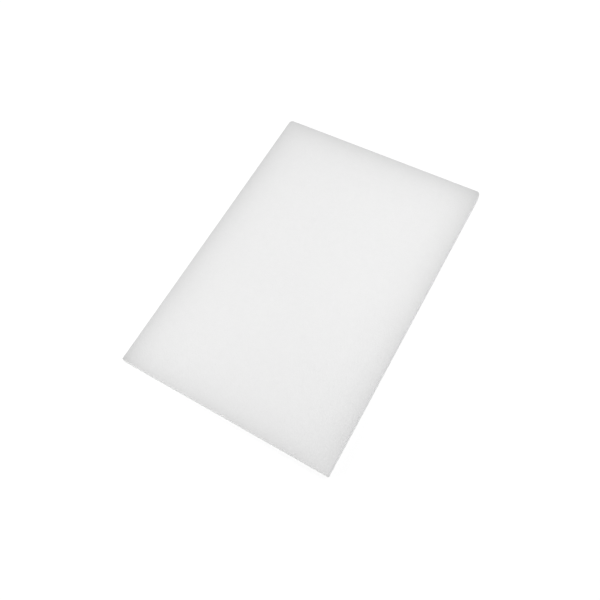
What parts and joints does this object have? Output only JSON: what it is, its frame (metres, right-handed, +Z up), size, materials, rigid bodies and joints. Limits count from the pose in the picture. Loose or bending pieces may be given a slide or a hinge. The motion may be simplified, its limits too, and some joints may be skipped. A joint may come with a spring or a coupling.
{
  "type": "cutting board",
  "caption": "Plain rectangular slab cutting board of solid white polyethylene, flat on both faces, with eased rims and rounded corners at one end.",
  "frame": {"origin": "centre of the underside", "axes": "+X along the length, towards the end with the larger corner radii; +Y across the width; +Z up, out of the upper working face"},
  "size_m": [0.5, 0.35, 0.015],
  "materials": {
    "white_polyethylene": "satin, finely pebbled on both faces and planed smooth round the edge"
  },
  "bodies": {
    "root": {"board_slab": "white_polyethylene"}
  },
  "joints": []
}
